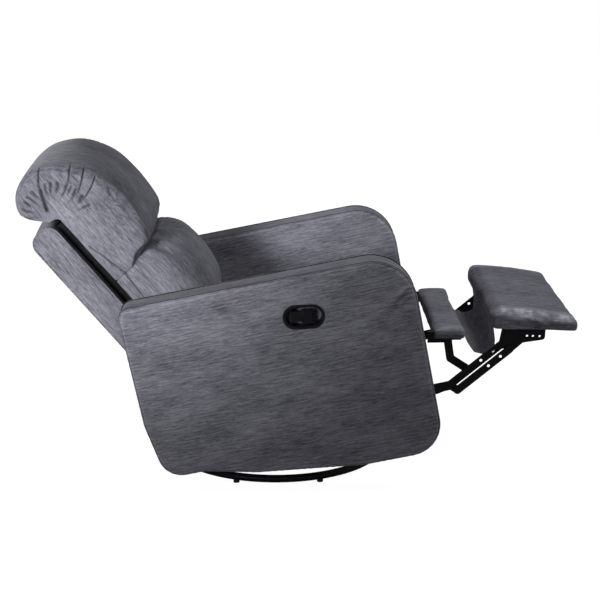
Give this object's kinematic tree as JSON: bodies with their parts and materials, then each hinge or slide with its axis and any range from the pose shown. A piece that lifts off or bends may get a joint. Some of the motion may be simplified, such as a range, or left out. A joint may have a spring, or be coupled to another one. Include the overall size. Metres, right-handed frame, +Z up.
{
  "type": "recliner chair",
  "caption": "Upholstered swivel rocker recliner with track arms, roll headrest, linked footrest and a lever cup in the right arm, on a black ring base.",
  "frame": {"origin": "on the floor under the swivel axis", "axes": "+X to the front of the chair, where the footrest comes out; -Y to the sitter's right, the side with the lever; +Z up. Rest pose is the pictured one: back down, footrest out, chair rocked back on its rear stop."},
  "size_m": [1.4091, 0.7433, 0.8505],
  "materials": {
    "upholstery": "dark slate grey chenille with fine streaks",
    "dark_lining": "black lining cloth and webbing",
    "black_steel": "black powder coat, satin",
    "bright_steel": "zinc plated",
    "timber": "plain plywood",
    "black_plastic": "black moulded, fine grain",
    "rubber": "black, matt"
  },
  "bodies": {
    "base": {"base_ring": "black_steel", "base_bars": "black_steel", "base_feet": "rubber", "swivel_lower_plate": "black_steel", "swivel_king_bolt": "bright_steel", "bearing_balls": "bright_steel"},
    "swivel": {"swivel_upper_plate": "black_steel", "rocker_base": "black_steel", "rock_shaft": "bright_steel", "rock_springs": "bright_steel"},
    "chassis": {"rock_hanger_right": "black_steel", "rock_hanger_left": "black_steel", "front_beam": "black_steel", "rear_beam": "black_steel", "side_rail_right": "black_steel", "side_rail_left": "black_steel", "arm_cover_right": "upholstery", "arm_cover_left": "upholstery", "arm_frame_right": "timber", "arm_frame_left": "timber", "arm_bolts": "bright_steel", "rear_apron": "upholstery", "seat_side_rails": "timber", "seat_front_rail": "timber", "seat_rear_rail": "timber", "seat_webbing": "dark_lining", "seat_cushion": "upholstery", "handle_bezel": "black_plastic", "handle_pin": "bright_steel", "release_cable": "black_plastic", "link_pins": "bright_steel", "back_pivot_pins": "bright_steel"},
    "back": {"back_shell": "upholstery", "back_board": "timber", "back_spacer": "dark_lining", "back_bracket_right": "black_steel", "back_bracket_left": "black_steel", "headrest_pillow": "upholstery", "lumbar_pillow": "upholstery"},
    "carrier": {"carrier_link_right": "black_steel", "carrier_link_left": "black_steel", "torsion_tube": "black_steel", "carrier_rivets": "bright_steel"},
    "control": {"control_link_right": "black_steel", "control_link_left": "black_steel"},
    "main_link": {"main_link_right": "black_steel", "main_link_left": "black_steel", "main_link_rivets": "bright_steel"},
    "guide": {"guide_link_right": "black_steel", "guide_link_left": "black_steel"},
    "footrest": {"footrest_bracket_right": "black_steel", "footrest_bracket_left": "black_steel", "footrest_board": "timber", "footrest_pad": "upholstery", "calf_flap": "upholstery"},
    "mid_rest": {"mid_bracket_right": "black_steel", "mid_bracket_left": "black_steel", "mid_board": "timber", "mid_pad": "upholstery"},
    "lever": {"handle_paddle": "black_plastic"}
  },
  "joints": [
    {"name": "swivel_turn", "type": "hinge", "parent": "base", "child": "swivel", "pos_m": [0, 0, 0], "axis": [0, 0, 1], "continuous": true},
    {"name": "rock", "type": "hinge", "parent": "swivel", "child": "chassis", "pos_m": [0, 0, 0.1], "axis": [0, 1, 0], "range_deg": [0, 15], "deforming": ["rock_springs"]},
    {"name": "recline", "type": "hinge", "parent": "chassis", "child": "back", "pos_m": [-0.19727, 0, 0.25012], "axis": [0, 1, 0], "range_deg": [0, 20]},
    {"name": "footrest_fold", "type": "hinge", "parent": "chassis", "child": "carrier", "pos_m": [0.27024, 0, 0.36269], "axis": [0, 1, 0], "range_deg": [0, 76], "deforming": ["calf_flap"]},
    {"name": "main_link_turn", "type": "hinge", "parent": "carrier", "child": "main_link", "pos_m": [0.44092, 0, 0.25294], "axis": [0, 1, 0], "range_deg": [-100.5, 0]},
    {"name": "footrest_tilt", "type": "hinge", "parent": "main_link", "child": "footrest", "pos_m": [0.57078, 0, 0.3607], "axis": [0, 1, 0], "range_deg": [0, 100.5]},
    {"name": "mid_flip", "type": "hinge", "parent": "main_link", "child": "mid_rest", "pos_m": [0.48394, 0, 0.28864], "axis": [0, 1, 0], "range_deg": [0, 100.5]},
    {"name": "guide_turn", "type": "hinge", "parent": "carrier", "child": "guide", "pos_m": [0.45949, 0, 0.24127], "axis": [0, 1, 0], "range_deg": [-100.5, 0]},
    {"name": "control_turn", "type": "hinge", "parent": "chassis", "child": "control", "pos_m": [0.24757, 0, 0.29722], "axis": [0, 1, 0], "range_deg": [0, 93.4]},
    {"name": "lever_pull", "type": "hinge", "parent": "chassis", "child": "lever", "pos_m": [0.03164, -0.3628, 0.46812], "axis": [0.0523, 0, -0.9986], "range_deg": [0, 35], "stiffness_Nm_per_rad": 0.5, "springref_deg": -5.73}
  ],
  "couplings": [
    {"joint": "main_link_turn", "follows": "footrest_fold", "ratio": -1.3211},
    {"joint": "footrest_tilt", "follows": "footrest_fold", "ratio": 1.3211},
    {"joint": "mid_flip", "follows": "footrest_fold", "ratio": 1.3211},
    {"joint": "guide_turn", "follows": "footrest_fold", "ratio": -1.3211},
    {"joint": "control_turn", "follows": "footrest_fold", "ratio": 1.2281}
  ]
}
